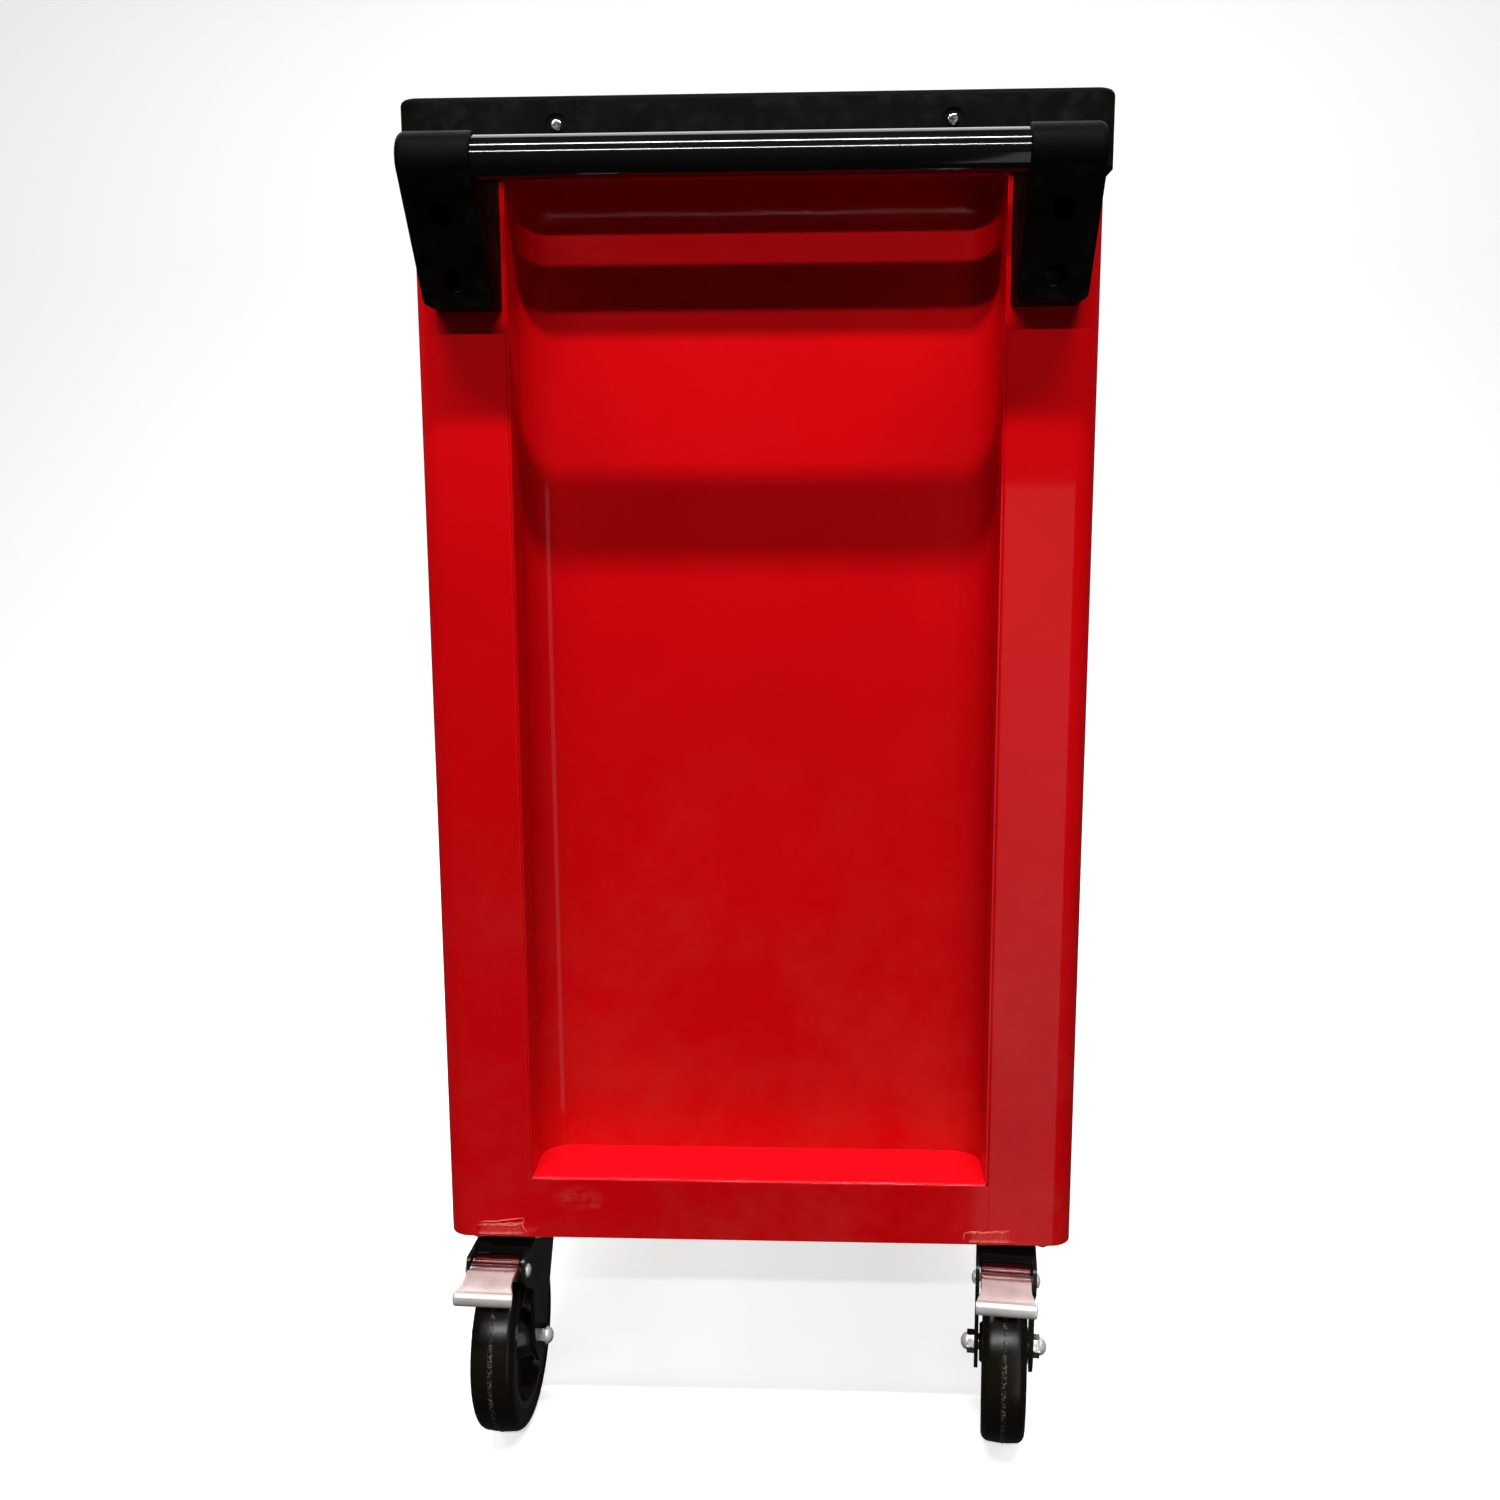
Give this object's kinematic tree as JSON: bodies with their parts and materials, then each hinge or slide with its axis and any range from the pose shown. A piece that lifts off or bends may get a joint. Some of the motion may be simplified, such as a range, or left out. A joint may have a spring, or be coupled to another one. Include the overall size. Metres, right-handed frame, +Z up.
{
  "type": "rolling tool cabinet",
  "caption": "Upright drawer cabinet on casters, with set-in end panels, a moulded top tray, a tubular push handle between brackets at one end, and foot brakes on the swivel casters.",
  "frame": {"origin": "centre of the whole object footprint, on the ground under the wheels", "axes": "+Z up, +X towards the push handle end, drawers open towards -Y"},
  "size_m": [0.7842, 0.4736, 0.965],
  "materials": {
    "red_paint": "gloss red powder coat",
    "black_paint": "satin black paint",
    "black_gloss": "gloss black paint",
    "black_plastic": "fine-grained black plastic",
    "hub_plastic": "gloss black plastic",
    "tread": "smooth black tread",
    "zinc": "zinc plated",
    "chrome": "bright plated",
    "pull_metal": "satin anodised"
  },
  "bodies": {
    "cabinet": {"post_front_handle_end": "red_paint", "post_rear_handle_end": "red_paint", "post_front_far_end": "red_paint", "post_rear_far_end": "red_paint", "end_panel_handle_end": "red_paint", "end_panel_far_end": "red_paint", "end_bottom_rails": "red_paint", "end_top_rails": "red_paint", "back_panel": "red_paint", "base_pan": "red_paint", "front_bottom_rail": "red_paint", "front_top_rail": "red_paint", "top_deck": "black_paint", "fixed_forks": "black_paint", "swivel_plates": "black_paint", "slide_channels": "zinc", "caster_bolts": "zinc", "top_tray": "black_plastic", "handle_bracket_front": "black_plastic", "handle_bracket_rear": "black_plastic", "handle_screws": "black_paint", "tray_screws": "chrome", "lock_barrel": "chrome", "fixed_axles": "chrome", "handle_tube": "black_gloss"},
    "drawer_1": {"drawer_1_box": "black_paint", "drawer_1_front": "red_paint", "drawer_1_pull": "pull_metal"},
    "drawer_2": {"drawer_2_box": "black_paint", "drawer_2_front": "red_paint", "drawer_2_pull": "pull_metal"},
    "drawer_3": {"drawer_3_box": "black_paint", "drawer_3_front": "red_paint", "drawer_3_pull": "pull_metal"},
    "drawer_4": {"drawer_4_box": "black_paint", "drawer_4_front": "red_paint", "drawer_4_pull": "pull_metal"},
    "drawer_5": {"drawer_5_box": "black_paint", "drawer_5_front": "red_paint", "drawer_5_pull": "pull_metal"},
    "drawer_6": {"drawer_6_box": "black_paint", "drawer_6_front": "red_paint", "drawer_6_pull": "pull_metal"},
    "lock_plug": {"lock_plug": "chrome"},
    "lock_bar": {"lock_bar": "zinc"},
    "swivel_front": {"swivel_fork_front": "black_paint", "swivel_axle_front": "chrome"},
    "swivel_wheel_front": {"swivel_tyre_front": "tread", "swivel_hub_front": "hub_plastic"},
    "brake_pedal_front": {"brake_pedal_front": "chrome"},
    "fixed_wheel_front": {"fixed_tyre_front": "tread", "fixed_hub_front": "hub_plastic"},
    "swivel_rear": {"swivel_fork_rear": "black_paint", "swivel_axle_rear": "chrome"},
    "swivel_wheel_rear": {"swivel_tyre_rear": "tread", "swivel_hub_rear": "hub_plastic"},
    "brake_pedal_rear": {"brake_pedal_rear": "chrome"},
    "fixed_wheel_rear": {"fixed_tyre_rear": "tread", "fixed_hub_rear": "hub_plastic"}
  },
  "joints": [
    {"name": "drawer_1_slide", "type": "slide", "parent": "cabinet", "child": "drawer_1", "axis": [0, -1, 0], "range_m": [0, 0.32]},
    {"name": "drawer_2_slide", "type": "slide", "parent": "cabinet", "child": "drawer_2", "axis": [0, -1, 0], "range_m": [0, 0.32]},
    {"name": "drawer_3_slide", "type": "slide", "parent": "cabinet", "child": "drawer_3", "axis": [0, -1, 0], "range_m": [0, 0.32]},
    {"name": "drawer_4_slide", "type": "slide", "parent": "cabinet", "child": "drawer_4", "axis": [0, -1, 0], "range_m": [0, 0.32]},
    {"name": "drawer_5_slide", "type": "slide", "parent": "cabinet", "child": "drawer_5", "axis": [0, -1, 0], "range_m": [0, 0.32]},
    {"name": "drawer_6_slide", "type": "slide", "parent": "cabinet", "child": "drawer_6", "axis": [0, -1, 0], "range_m": [0, 0.32]},
    {"name": "lock_turn", "type": "hinge", "parent": "cabinet", "child": "lock_plug", "pos_m": [0.2136, -0.22775, 0.899], "axis": [0, -1, 0], "range_deg": [0, 90]},
    {"name": "lock_bar_lift", "type": "slide", "parent": "cabinet", "child": "lock_bar", "axis": [0, 0, 1], "range_m": [0, 0.008]},
    {"name": "swivel_turn_front", "type": "hinge", "parent": "cabinet", "child": "swivel_front", "pos_m": [0.2416, -0.18725, 0.153], "axis": [0, 0, 1], "continuous": true},
    {"name": "swivel_roll_front", "type": "hinge", "parent": "swivel_front", "child": "swivel_wheel_front", "pos_m": [0.27457, -0.18869, 0.0695], "axis": [0.0436, 0.999, 0], "continuous": true},
    {"name": "brake_press_front", "type": "hinge", "parent": "swivel_front", "child": "brake_pedal_front", "pos_m": [0.30954, -0.19022, 0.1415], "axis": [0.0436, 0.999, 0], "range_deg": [0, 10]},
    {"name": "fixed_roll_front", "type": "hinge", "parent": "cabinet", "child": "fixed_wheel_front", "pos_m": [-0.3144, -0.18725, 0.0695], "axis": [0, 1, 0], "continuous": true},
    {"name": "swivel_turn_rear", "type": "hinge", "parent": "cabinet", "child": "swivel_rear", "pos_m": [0.2416, 0.19175, 0.153], "axis": [0, 0, 1], "continuous": true},
    {"name": "swivel_roll_rear", "type": "hinge", "parent": "swivel_rear", "child": "swivel_wheel_rear", "pos_m": [0.27439, 0.18801, 0.0695], "axis": [0.1132, 0.9936, 0], "continuous": true},
    {"name": "brake_press_rear", "type": "hinge", "parent": "swivel_rear", "child": "brake_pedal_rear", "pos_m": [0.30916, 0.18405, 0.1415], "axis": [0.1132, 0.9936, 0], "range_deg": [0, 10]},
    {"name": "fixed_roll_rear", "type": "hinge", "parent": "cabinet", "child": "fixed_wheel_rear", "pos_m": [-0.3144, 0.19175, 0.0695], "axis": [0, 1, 0], "continuous": true}
  ],
  "couplings": [
    {"joint": "lock_bar_lift", "follows": "lock_turn", "m_per_rad": 0.00509}
  ]
}
